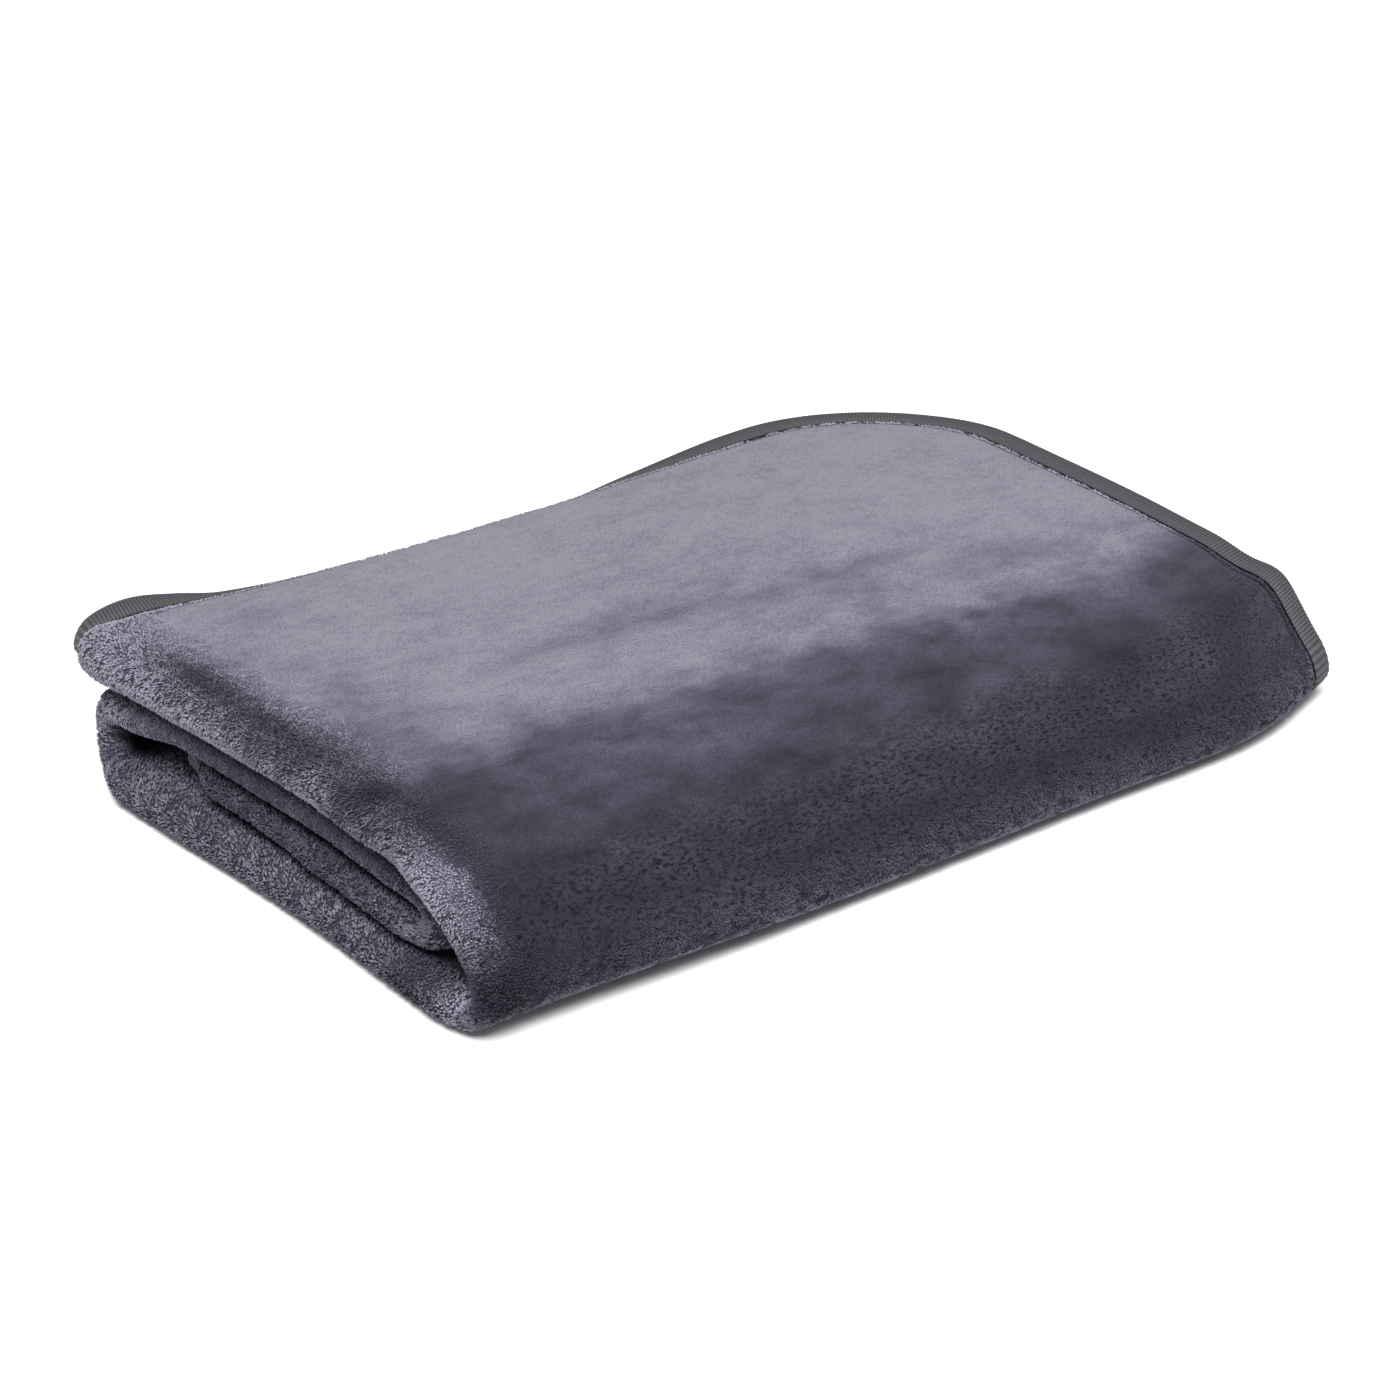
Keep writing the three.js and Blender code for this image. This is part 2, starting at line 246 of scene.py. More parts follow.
def settle(x, y, z, along):
    """The settled stack: crowned, leaning out at the front and hanging over at the back."""
    t = x / END_X
    height = z * (
        (1 - t) * (1 - 2 * t) * read(CROWN, "y", "lip", y)
        + 4 * t * (1 - t) * read(CROWN, "y", "middle", y)
        + t * (2 * t - 1) * read(CROWN, "y", "end", y)
    )
    beyond = smooth(x / LEAN_CHANGE)
    lean = {key: LEAN_LIP[key] * (1 - beyond) + LEAN_BEYOND[key] * beyond for key in LEAN_LIP}
    fade = np.exp(-(((height - lean["height"]) / lean["spread"]) ** 2))
    near_front = 1 - smooth((y - LEAN_FROM) / (LEAN_TO - LEAN_FROM))
    hanging = np.maximum(0, 1 - along / HANG_LENGTH) ** 2
    near_lip = 1 - smooth(x / LIP_DEPTH)
    tuck = course_value("tuck", along)
    tuck += END_TUCK * smooth((along - course_length) / END_TUCK_LENGTH + 1)
    forwards = read(FRONT_BULGE, "x", "out", x) * (1 - smooth(y / FRONT_DEPTH))
    return np.stack(
        [
            x + (tuck - read(LIP_BULGE, "y", "out", y)) * near_lip,
            y - lean["out"] * fade * near_front - forwards,
            height - read(HANG, "x", "drop", x) * hanging,
        ],
        axis=-1,
    )


def fold(across, along, off):
    """Points of the flat blanket, folded, in millimetres from the lip at the floor's front."""
    y, z, dy, dz = middle_at(along)
    ply_middle = (course_value("half", along) + PLY_GAP / 2) / 2 + off
    beyond_lip = np.abs(across) - LIP_HALF
    turn = (math.pi / 2) * np.clip(across / LIP_HALF, -1, 1)
    x = np.where(beyond_lip > 0, beyond_lip, -ply_middle * np.cos(turn))
    lift = ply_middle * np.sin(turn)
    return settle(x, y + lift * dz, z - lift * dy, along)


# The blanket's own frame lies in the CAD's box by its right and back edges.
tape_fold = TAPE_CLEARANCE + TAPE_THICKNESS
shift = np.array([cad_high[0] / MM - END_X - tape_fold, cad_high[1] / MM - BACK_Y - tape_fold, 0])


def place(points):
    """Folded points in metres, in the frame of the CAD model, pressed flat where they rest."""
    placed = points + shift
    placed[..., 2] = np.maximum(placed[..., 2], FLOOR_CLEAR)
    return placed * MM


# The camera: the photograph's view, from its place beside the lip and the front

CAMERA_AT = (-404.8, -589.7, 442.4)
CAMERA_DOWN = 25.0
CAMERA_ROUND = 39.42
FIELD_OF_VIEW = 27.52
SENSOR_WIDTH = 36
CLIP_NEAR, CLIP_FAR = 0.01, 20  # metres


def add_object(name, data):
    made = bpy.data.objects.new(name, data)
    bpy.context.collection.objects.link(made)
    return made


def add_camera():
    data = bpy.data.cameras.new("camera")
    data.sensor_width = SENSOR_WIDTH
    data.angle = math.radians(FIELD_OF_VIEW)
    data.clip_start, data.clip_end = CLIP_NEAR, CLIP_FAR
    camera = add_object("camera", data)
    camera.location = place(np.array(CAMERA_AT))
    camera.rotation_euler = [math.radians(a) for a in (90 - CAMERA_DOWN, 0, -CAMERA_ROUND)]
    bpy.context.scene.camera = camera


# Unevenness

LATTICE = 96  # numbers each way, after which the noise repeats
LATTICE_OFFSET = 1000  # keeps places on the lattice above nought


def noise(u, v, scale, seed):
    """Smooth uneven values from -1 to 1, with lumps of that scale in millimetres."""
    lattice = np.random.default_rng(seed).uniform(-1, 1, (LATTICE, LATTICE))
    a, b = u / scale + LATTICE_OFFSET, v / scale + LATTICE_OFFSET
    i, j = np.floor(a).astype(int), np.floor(b).astype(int)
    s, t = smooth(a - i), smooth(b - j)
    i, j = i % LATTICE, j % LATTICE
    k, m = (i + 1) % LATTICE, (j + 1) % LATTICE
    near = lattice[i, j] * (1 - s) + lattice[k, j] * s
    far = lattice[i, m] * (1 - s) + lattice[k, m] * s
    return near * (1 - t) + far * t


CLOUD_MAIN, CLOUD_FINE = 0.7, 0.4  # strengths of the two sizes
CLOUD_FINE_SCALE = 0.45
CLOUD_SHIFT = 37, -91  # so that the two sizes don't line up


def clouds(u, v, scale, seed):
    """Noise of two sizes, the finer one weaker."""
    main = noise(u, v, scale, seed)
    fine = noise(u + CLOUD_SHIFT[0], v + CLOUD_SHIFT[1], scale * CLOUD_FINE_SCALE, seed + 1)
    return main * CLOUD_MAIN + fine * CLOUD_FINE


def uneven(across, along, broad, fine):
    """Soft clouds and finer lumps, each with its scale, seed and strength."""
    value = clouds(across, along, broad["scale"], broad["seed"]) * broad["strength"]
    return value + noise(across, along, fine["scale"], fine["seed"]) * fine["strength"]


def patch(across, along, at_across, at_along, wide, long):
    """A soft patch: 1 at its middle, fading over its width across and its length along."""
    return np.exp(-(((across - at_across) / wide) ** 2) - ((along - at_along) / long) ** 2)


def round_corner(across, along):
    """Points of a square-cornered sheet moved so that its corners are round, and how far each
    then lies from the edge."""
    mid = course_length / 2
    inner_across, inner_along = half_width - CORNER_RADIUS, mid - CORNER_RADIUS
    sideways = np.abs(across) - inner_across
    lengthways = np.abs(along - mid) - inner_along
    reach = np.maximum(sideways, lengthways)
    other = np.minimum(sideways, lengthways)
    in_corner = other > 0
    angle = np.where(in_corner, other / np.where(in_corner, reach, 1), 0) * math.pi / 4
    angle = np.where(sideways > lengthways, angle, math.pi / 2 - angle)
    corner_across = np.sign(across) * (inner_across + reach * np.cos(angle))
    corner_along = mid + np.sign(along - mid) * (inner_along + reach * np.sin(angle))
    return (
        np.where(in_corner, corner_across, across),
        np.where(in_corner, corner_along, along),
        CORNER_RADIUS - reach,
    )


def edge_distance(across, along):
    """How far points of the flat blanket lie from its rounded edge."""
    mid = course_length / 2
    sideways = np.abs(across) - half_width + CORNER_RADIUS
    lengthways = np.abs(along - mid) - mid + CORNER_RADIUS
    in_corner = np.minimum(sideways, lengthways) > 0
    round_reach, straight_reach = np.hypot(sideways, lengthways), np.maximum(sideways, lengthways)
    return CORNER_RADIUS - np.where(in_corner, round_reach, straight_reach)


# The crimped band low on the front, as lengths along the course. Its upper line wanders, and
# comes sooner towards the bound ends.
CRIMP_START, CRIMP_RISE = 208, 26
CRIMP_END, CRIMP_FADE = 256, 12
CRIMP_WANDER = {"scale": 30, "seed": 61, "strength": 5}
CRIMP_SOONER = {"across": 250, "over": 60, "strength": 9}


def crimp(across, along):
    """Where the nap is crimped into clumps with cracks between."""
    wander, sooner = CRIMP_WANDER, CRIMP_SOONER
    shift = noise(across, along, wander["scale"], wander["seed"]) * wander["strength"]
    shift = shift + sooner["strength"] * smooth((across - sooner["across"]) / sooner["over"])
    begun = smooth((along + shift - CRIMP_START) / CRIMP_RISE)
    return begun * (1 - smooth((along - CRIMP_END) / CRIMP_FADE))


def ply_half(edge, along):
    """Half the thickness of one ply at a distance from the edge."""
    full = (course_value("half", along) - PLY_GAP / 2) / 2
    pressed = EDGE_THICKNESS / 2
    return pressed + (full - pressed) * smooth((edge - TAPE_WIDTH) / EDGE_SLOPE)


# Where the cloth bends or its nap is brushed up, the pile stands this high, in millimetres.
PILE_LIP = 1.3
PILE_FRONT = 0.8
PILE_HEM = 1.0
PILE_IN_HOLLOW = 1.4

# Each start and end is followed by the length over which the pile rises or sinks.
LIP_PILE_END, LIP_PILE_SINK = 6, 30
THIRD_PANEL_START, THIRD_PANEL_END, THIRD_PANEL_CHANGE = 505, 655, 15
THIRD_PANEL_LESS = 0.55
FRONT_PILE_START, FRONT_PILE_RISE = 234, 20
FRONT_PILE_END, FRONT_PILE_SINK = 276, 10
HEM_PILE_END, HEM_PILE_SINK = 2, 5
TAPE_PILE_RISE = 2
HOLLOW = {"at_across": -15, "at_along": 438, "wide": 14, "long": 32}


def pile_height(across, along, edge):
    """How high the pile stands clear of the cloth: at the lip, in the hollow, low on the front
    and by the tape."""
    at_lip = 1 - smooth((np.abs(across) - LIP_PILE_END) / LIP_PILE_SINK)
    begun = smooth((along - THIRD_PANEL_START) / THIRD_PANEL_CHANGE)
    ended = smooth((along - THIRD_PANEL_END) / THIRD_PANEL_CHANGE)
    at_lip *= 1 - THIRD_PANEL_LESS * begun * (1 - ended)
    at_front = smooth((along - FRONT_PILE_START) / FRONT_PILE_RISE)
    at_front *= 1 - smooth((along - FRONT_PILE_END) / FRONT_PILE_SINK)
    at_hem = 1 - smooth((edge - TAPE_WIDTH - HEM_PILE_END) / HEM_PILE_SINK)
    height = np.maximum(PILE_LIP * at_lip, PILE_FRONT * at_front)
    height = np.maximum(height, PILE_IN_HOLLOW * patch(across, along, **HOLLOW))
    height = np.maximum(height, PILE_HEM * at_hem)
    return height * smooth((edge - TAPE_WIDTH) / TAPE_PILE_RISE)


# Main creases: soft troughs, and ridges where the depth is below nought. Turn is from the
# across direction, in degrees, and all else in millimetres.
CREASES = table(
    "across along long wide turn depth",
    (235, 132, 95, 9, 4, 0.9),
    (120, 126, 40, 8, -6, 0.5),
    (290, 150, 50, 10, 8, 0.6),
    (90, 168, 60, 8, 0, -0.6),
    (200, 160, 70, 8, 3, -0.5),
    (180, 178, 9, 2.5, 80, 0.5),
    (204, 158, 12, 3, 84, 0.4),
    (40, 43, 5, 2, 15, 0.4),
    (171, 164, 4, 2, 40, 0.5),
    (335, 190, 18, 6, 60, 0.8),
    (300, 212, 22, 7, 65, 0.7),
    (352, 205, 16, 5, 70, -0.7),
    (60, 205, 30, 7, 20, 0.4),
    (140, 222, 40, 8, 5, 0.5),
    (250, 238, 45, 6, -4, 0.6),
    (30, 100, 45, 9, 88, 0.5),
)


def crease_depth(across, along):
    """How deep the creases lie together at points of the flat blanket."""
    depth = np.zeros_like(across)
    for a, b, long, wide, turn, deep in zip(*CREASES.values()):
        angle = math.radians(turn)
        u = (across - a) * math.cos(angle) + (along - b) * math.sin(angle)
        v = (along - b) * math.cos(angle) - (across - a) * math.sin(angle)
        depth += deep * np.exp(-((u / long) ** 2) - (v / wide) ** 2)
    return depth


# Where the plush swells: at the lip by its far end, under the third panel's lip, and as a hump
# on the bottom panel in the hollow. Millimetres on the flat blanket.
SWELLS = table(
    "across along wide long up",
    (-9, 24, 13, 15, 2.0),
    (3, 16, 8, 10, 0.8),
    (-8, 512, 9, 22, 1.8),
    (-19, 439, 11, 14, 4.4),
    (-9, 473, 8, 12, 2.6),
    (-12, 415, 14, 18, 1.2),
)

WAVES = {"scale": 55, "seed": 5, "strength": 0.5}
RIPPLES = {"scale": 14, "seed": 8, "strength": 0.12}

# Waves, ripples and creases are kept off the hem, and end on the front fold but for the lip.
WAVES_FROM_EDGE, WAVES_RISE = 20, 40
WAVES_END, WAVES_SINK = 250, 12
WAVES_KEPT = -8
SWELL_RISE = 4
PILE_SUNK = 0.8  # the cloth's face lies this share of its pile's height lower


def surface(across, along):
    """Off of the cloth's outer face, under its pile, with its soft undulations."""
    edge = edge_distance(across, along)
    ended = smooth((along - WAVES_END) / WAVES_SINK) * (across > WAVES_KEPT)
    inside = smooth((edge - WAVES_FROM_EDGE) / WAVES_RISE) * (1 - ended)
    lump = (uneven(across, along, WAVES, RIPPLES) - crease_depth(across, along)) * inside
    for a, b, wide, long, up in zip(*SWELLS.values()):
        swell = up * patch(across, along, a, b, wide, long)
        lump += swell * smooth((edge - TAPE_WIDTH) / SWELL_RISE)
    return ply_half(edge, along) - PILE_SUNK * pile_height(across, along, edge) + lump


# How light the plush looks, from 0 to 1: lighter where the nap lies away from the eye, darker
# where it stands. Part of it is painted light: the front fold is painted darker as shade where
# it turns from the light, and the rim low on the front lighter as light thrown up by the floor.
# It changes along the course, at a line that wanders, with patches where the nap has been
# brushed one way or the other, and patches of painted highlight and shade, in millimetres on
# the flat blanket.
NAP_AND_LIGHT_COURSE = table(
    "along tone",
    # From 168 the front fold is painted darker as shade; 254 to 285, the rim lighter as floor light
    (0, 0.95), (60, 0.93), (120, 0.88), (150, 0.84), (168, 0.76), (178, 0.60), (185, 0.38),
    (194, 0.23), (215, 0.16), (232, 0.10), (248, 0.09), (254, 0.24), (262, 0.68), (285, 0.32),
    (300, 0.33), (463, 0.44), (482, 0.66), (500, 0.52), (525, 0.33), (670, 0.30), (692, 0.36),
    (730, 0.24), (831, 0.22),
)
NAP_AND_SHADE_LINE = table(
    "across later",
    (-20, -10), (50, -9), (100, -8), (175, -3), (240, -3), (275, 0), (305, 5), (325, -1),
    (342, -10), (376, -9),
)
NAP_AND_LIGHT_PATCHES = table(
    "across along wide long tone",
    # painted shade low in the front corner by the floor
    (4, 252, 14, 9, -0.12),
    # painted highlight along the lip by the front corner
    (-2, 200, 11, 24, 0.30),
    (13, 70, 11, 36, -0.66),
    (8, 132, 11, 48, -0.62),
    (30, 146, 24, 30, -0.20),
    (38, 110, 16, 70, -0.16),
    (48, 44, 12, 16, -0.14),
    (-6, 60, 6, 70, 0.25),
    (199, 100, 60, 22, -0.12),
    (160, 130, 50, 15, -0.10),
    (236, 184, 14, 9, -0.24),
    (135, 124, 46, 9, -0.18),
    (222, 135, 44, 9, -0.24),
    (288, 157, 30, 9, -0.20),
    (215, 152, 40, 10, -0.12),
    (143, 164, 7, 8, 0.20),
    (346, 172, 13, 9, 0.20),
    (112, 196, 40, 9, 0.07),
    (205, 204, 16, 13, -0.07),
    (282, 216, 20, 12, -0.10),
    (330, 215, 18, 16, -0.09),
    # painted highlight: the bright band on the lip by the front corner
    (6, 220, 7, 15, 1.00),
    (-8, 512, 10, 24, 0.35),
    # painted shade inside the hollow, on the back fold's inner wall
    (-14, 484, 9, 24, -0.95),
    (-3, 278, 12, 16, -0.18),
)

# The line wanders in large bends and small ones, and is straight from low on the front on.
LINE_END, LINE_FADE = 230, 30
LINE_BENDS = {"scale": 24, "seed": 41, "strength": 7}
LINE_NICKS = {"scale": 8, "seed": 43, "strength": 4}

# And its lightness is uneven everywhere.
TONE_CLOUDS = {"scale": 46, "seed": 21, "strength": 0.13}
TONE_BLOTCHES = {"scale": 11, "seed": 31, "strength": 0.065}


def nap_and_light_tone(across, along):
    """How light the plush looks at points of the flat blanket: its nap, with painted shade and
    light.
    """
    later = read(NAP_AND_SHADE_LINE, "across", "later", across) * (1 - smooth((along - LINE_END) / LINE_FADE))
    wander = uneven(across, along, LINE_BENDS, LINE_NICKS)
    later += wander * smooth((LINE_END - along) / LINE_FADE)
    tone = read(NAP_AND_LIGHT_COURSE, "along", "tone", along - later)
    for a, b, wide, long, strength in zip(*NAP_AND_LIGHT_PATCHES.values()):
        tone += strength * patch(across, along, a, b, wide, long)
    return np.clip(tone * (1 + uneven(across, along, TONE_CLOUDS, TONE_BLOTCHES)), 0, 1)


# How far apart the cloth's grid lines are, at most
TAPE_STEP = 3.7
HEM_STEP = 1
LIP_STEP = 1
PANEL_STEP = 3.1
HIDDEN_STEP = 8
FOLD_STEP = 2.4
HEM_SPARE = 0.5
HEM = TAPE_WIDTH + EDGE_SLOPE + HEM_SPARE
STEP_SLACK = 1e-6  # so that rounding adds no step


def spread(*stretches):
    """Positions along stretches given as (start, end, step), each step at most that long."""
    places = []
    for start, end, step in stretches:
        count = max(1, math.ceil((end - start) / step - STEP_SLACK))
        places += [start + (end - start) * k / count for k in range(count)]
    return np.array(places + [stretches[-1][1]])


def set_points(mesh, coords):
    mesh.vertices.foreach_set("co", coords.astype(np.float32).ravel())


def shade_smooth(mesh):
    mesh.polygons.foreach_set("use_smooth", np.full(len(mesh.polygons), True))


def cloth_columns():
    """Places across the cloth, from bound edge to bound edge, the hidden ply's further apart."""
    shown, hidden = (
        spread(
            (0, LIP_HALF * 2, LIP_STEP),
            (LIP_HALF * 2, half_width - HEM, step),
            (half_width - HEM, half_width - TAPE_WIDTH, HEM_STEP),
            (half_width - TAPE_WIDTH, half_width, TAPE_STEP),
        )
        for step in (PANEL_STEP, HIDDEN_STEP)
    )
    return np.concatenate([-hidden[:0:-1], shown])


def cloth_rows():
    """Places along the cloth: close together by its ends, on the folds and where they show."""
    stretches = [(0, TAPE_WIDTH, TAPE_STEP), (TAPE_WIDTH, HEM, HEM_STEP)]
    for i, row in enumerate(course):
        step = FOLD_STEP if row["slope"] else PANEL_STEP if i == 0 else HIDDEN_STEP
        low = max(row["start"], HEM)
        high = min(row["start"] + row["length"], course_length - HEM)
        stretches.append((low, high, step))
    stretches.append((course_length - HEM, course_length - TAPE_WIDTH, HEM_STEP))
    stretches.append((course_length - TAPE_WIDTH, course_length, TAPE_STEP))
    return spread(*stretches)


def new_object(name, bm):
    mesh = bpy.data.meshes.new(name)
    bm.to_mesh(mesh)
    bm.free()
    return add_object(name, mesh)


def vertex_array(mesh):
    coords = np.empty(len(mesh.vertices) * 3, np.float32)
    mesh.vertices.foreach_get("co", coords)
    return coords.reshape(-1, 3).astype(float)


def add_attribute(mesh, name, values):
    mesh.attributes.new(name, "FLOAT", "POINT").data.foreach_set("value", values.astype(np.float32))


def add_flat_uv(mesh, across, along):
    """A UV map in metres of the flat blanket, so that a pattern follows the cloth."""
    corner = np.empty(len(mesh.loops), np.int32)
    mesh.loops.foreach_get("vertex_index", corner)
    flat = np.stack([across[corner], along[corner]], axis=-1) * MM
    mesh.uv_layers.new(name="flat").uv.foreach_set("vector", flat.astype(np.float32).ravel())


def add_cloth(material):
    """The blanket: a grid given a second layer, as wide and long as the flat cloth, folded."""
    columns, rows = cloth_columns(), cloth_rows()
    width, length = len(columns) - 1, len(rows) - 1
    bm = bmesh.new()
    bmesh.ops.create_grid(bm, x_segments=width, y_segments=length, size=1)
    made = bmesh.ops.extrude_face_region(bm, geom=bm.faces[:], use_keep_orig=True)
    upper = [v for v in made["geom"] if isinstance(v, bmesh.types.BMVert)]
    bmesh.ops.translate(bm, verts=upper, vec=(0, 0, 1))
    bmesh.ops.recalc_face_normals(bm, faces=bm.faces[:])
    piece = new_object("cloth", bm)
    grid = vertex_array(piece.data)
    column = columns[np.rint((grid[:, 0] + 1) / 2 * width).astype(int)]
    row = rows[np.rint((grid[:, 1] + 1) / 2 * length).astype(int)]
    across, along, edge = round_corner(column, row)
    outside = grid[:, 2] > 0.5
    off = np.where(outside, surface(across, along), -ply_half(edge, along))
    add_flat_uv(piece.data, across, along)
    add_attribute(piece.data, "tone", nap_and_light_tone(across, along))
    add_attribute(piece.data, "crimp", crimp(across, along) * outside)
    add_attribute(piece.data, "pile", pile_height(across, along, edge) * outside)
    set_points(piece.data, place(fold(across, along, off)))
    shade_smooth(piece.data)
    piece.data.materials.append(material)
    piece.data.update()
    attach(piece, "root")
    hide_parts("blanket")
    return piece


# The binding. Its ribs are woven across the tape.

RIB_PITCH = 1.4
RIB_DEPTH = 0.2
TAPE_SECTION_STEP = 5.5
TAPE_BOW = 50  # degrees from its middle that the fold's outer points stand at
WELD = 1e-6  # metres


def tape_section():
    """The folded tape's section as out from the cloth's edge and off its middle: the outer side
    first, from the lower hem round the fold to the upper hem, then back along the inner side."""
    inner = EDGE_THICKNESS / 2 + TAPE_CLEARANCE
    outer = inner + TAPE_THICKNESS
    run = spread((-TAPE_WIDTH, 0, TAPE_SECTION_STEP))
    bow = np.array([-TAPE_BOW, 0, TAPE_BOW]) * math.pi / 180
    out = np.concatenate([run, tape_fold * np.cos(bow), run[::-1], run, run[::-1]])
    off = np.concatenate(
        [
            np.full(len(run), -outer),
            outer * np.sin(bow),
            np.full(len(run), outer),
            np.full(len(run), inner),
            np.full(len(run), -inner),
        ]
    )
    outside = np.arange(len(out)) < 2 * len(run) + len(bow)
    return out, off, outside


def edge_line():
    """Stations round the blanket's rounded edge, half a rib apart: place and direction out."""
    radius = CORNER_RADIUS
    mid = course_length / 2
    side, end = mid - radius, half_width - radius
    stretches = [2 * side, math.pi / 2 * radius, 2 * end, math.pi / 2 * radius] * 2
    total = sum(stretches)
    count = 2 * round(total / RIB_PITCH)
    run = np.arange(count) * total / count
    limits = np.cumsum([0] + stretches)
    across, along, out_across, out_along = (np.zeros(count) for _ in range(4))
    for k in range(len(stretches)):
        here = (run >= limits[k]) & (run < limits[k + 1])
        t = run[here] - limits[k]
        sign = 1 if k < 4 else -1
        if k % 4 == 0:
            across[here], along[here] = sign * half_width, mid + sign * (t - side)
            out_across[here] = sign
        elif k % 4 == 2:
            across[here], along[here] = sign * (end - t), mid + sign * mid
            out_along[here] = sign
        else:
            quarter = t / radius
            if k % 4 == 1:
                a, b, centre = np.cos(quarter), np.sin(quarter), sign * end
            else:
                a, b, centre = -np.sin(quarter), np.cos(quarter), -sign * end
            across[here] = centre + sign * radius * a
            along[here] = mid + sign * (side + radius * b)
            out_across[here], out_along[here] = sign * a, sign * b
    return across, along, out_across, out_along


def add_binding(material):
    """The binding: a ring of stations with the folded tape's section, ribbed across its width."""
    out, off, outside = tape_section()
    across, along, out_across, out_along = edge_line()
    around, section = len(across), len(out)
    bm = bmesh.new()
    bmesh.ops.create_grid(bm, x_segments=around, y_segments=section, size=1)
    piece = new_object("binding_tape", bm)
    mesh = piece.data
    grid = vertex_array(mesh)
    station = np.rint((grid[:, 0] + 1) / 2 * around).astype(int)
    point = np.rint((grid[:, 1] + 1) / 2 * section).astype(int)
    s, p = station % around, point % section
    crest = np.where(s % 2 == 0, 1, 0)
    rib = RIB_DEPTH * crest * outside[p]
    reach = out[p] + np.where(out[p] > 0, rib, 0)
    height = off[p] + np.sign(off[p]) * rib
    coords = fold(across[s] + reach * out_across[s], along[s] + reach * out_along[s], height)
    set_points(mesh, place(coords))
    add_flat_uv(mesh, station * RIB_PITCH / 2, out[p] * np.sign(off[p]))
    # rib is 1 on the crests and 0 in the grooves, which the tape's material paints dark as shade
    add_attribute(mesh, "rib", crest)
    bm = bmesh.new()
    bm.from_mesh(mesh)
    bmesh.ops.remove_doubles(bm, verts=bm.verts[:], dist=WELD)
    bmesh.ops.recalc_face_normals(bm, faces=bm.faces[:])
    bm.to_mesh(mesh)
    bm.free()
    shade_smooth(mesh)
    mesh.materials.append(material)
    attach(piece, "root")
    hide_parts("binding")
    return piece


# Pile: short strands, each fullest past its middle, that stand in uneven clumps with dark gaps.
# Strands by a gap stand lower and are painted darker, as shade between the clumps.
# A real fibre is about 0.02 mm thick, too fine to show, so a strand stands for a whole tuft.
# around is across, but measured round the lip's outside; reach is how wide a clump is each way
# and pit how wide the dark pits in it are, painted as shade like a gap; combed is the way that
# the strands lean, in radians, and slant turns the clumps. One zone is one piece.

PILE = {
    "pile_lip_upper": {
        "around": (-14, 37), "along": (11, 296), "pitch": 0.7,
        "reach": (1.7, 1.4), "pit": (1.3, 1.2), "combed": -1.4, "slant": 0.6,
    },
    "pile_lip_lower": {
        "around": (-14, 15), "along": (296, 820), "pitch": 0.74,
        "reach": (1.8, 1.6), "pit": (1.4, 1.3), "combed": -1.2, "slant": 0.6,
    },
    "pile_hollow": {
        "around": (-34, -14), "along": (396, 466), "pitch": 0.8,
        "reach": (1.8, 1.6), "pit": (1.4, 1.3), "combed": -1.2, "slant": 0.6,
    },
    "pile_front": {
        "around": (27, 372), "along": (236, 272), "pitch": 0.75,
        "reach": (4, 1.5), "pit": (3, 1.3), "combed": 0.3, "slant": 0,
    },
    "pile_hem": {
        "around": (-14, 380), "along": (11, 296), "pitch": 0.9,
        "reach": (9, 4), "pit": (4, 4), "combed": 0, "slant": 0,
    },
}
PILE_SEED, PILE_SEED_STEP = 100, 20
SEEDS = {"turn": 3, "hem": 5, "parting": 7, "pit": 11, "tone": 13}  # added to a zone's own

JITTER = 0.45  # how far a strand strays from its grid place, as a share of the pitch
CLEAR_OF_TAPE = 0.4
LEAST_STAND = 0.16  # lower pile isn't drawn
PROBE = 0.3  # the step over which a slope on the flat blanket is measured
NOT_NOUGHT = 1e-9

GAP_REACH = 0.34  # of the parting noise: strands below this stand by a gap
GAP_BARE = 0.012  # and none stands where it is below this
# by a gap: how much lower strands stand, how much darker as painted shade, and how far they lean
GAP_LOWER, GAP_SHADE, GAP_LEAN = 0.5, 0.8, 0.3
PIT_FROM, PIT_RISE = 0.3, 0.4

HEIGHT_SPREAD = 0.8, 1.2
TURN_SCALE, TURN_WANDER, TURN_SPREAD = 12, 1.6, 0.35
LEAN_SHARE = 0.6  # of a strand's height
ROOT_SUNK = 0.35

HEM_PILE_WIDTH = 4.5
HEM_LEAN_DEPTH = 6
HEM_LEAN, HEM_LEAN_WANDER, HEM_LEAN_SCALE = 0.6, 0.5, 9
HEM_TALLER = 1.25

STRAND_RADIUS = 0.52  # share of the pitch
RADIUS_SPREAD = 0.8, 1.15
WAIST_AT = 0.62
WAIST_POINTS = 3
WAIST_TIP = 0.7  # share of the tip's colour at the waist
SIDEWAYS = 0.3, 0.5, 0.81  # any direction that no strand has

TONE_SPREAD = 0.2
STAND_TONE, STAND_TONE_RISE, STAND_FULL = 0.78, 0.5, 1.2
BLOTCH_SCALE, BLOTCH_STRENGTH = 2.8, 0.3

LIP_ROUND = 6.3  # radius of the lip's outside
LIP_ARC = math.pi / 2 * LIP_ROUND
FINE_STEP = 0.25
MEASURED_ACROSS = 60  # well clear of the lip


def lip_across(around):
    """Across, from lengths round the outside of the lip."""
    along_arc = np.minimum(np.abs(around), LIP_ARC) * LIP_HALF / LIP_ARC
    return np.sign(around) * (along_arc + np.maximum(0, np.abs(around) - LIP_ARC))


def even_along(low, high, pitch):
    """Places along the course that are evenly apart on the outer face."""
    fine = np.arange(low, high, FINE_STEP)
    across = np.full_like(fine, MEASURED_ACROSS)
    line = fold(across, fine, surface(across, fine))
    run = np.concatenate([[0], np.cumsum(np.linalg.norm(np.diff(line, axis=0), axis=1))])
    return np.interp(np.arange(0, run[-1], pitch), run, fine)


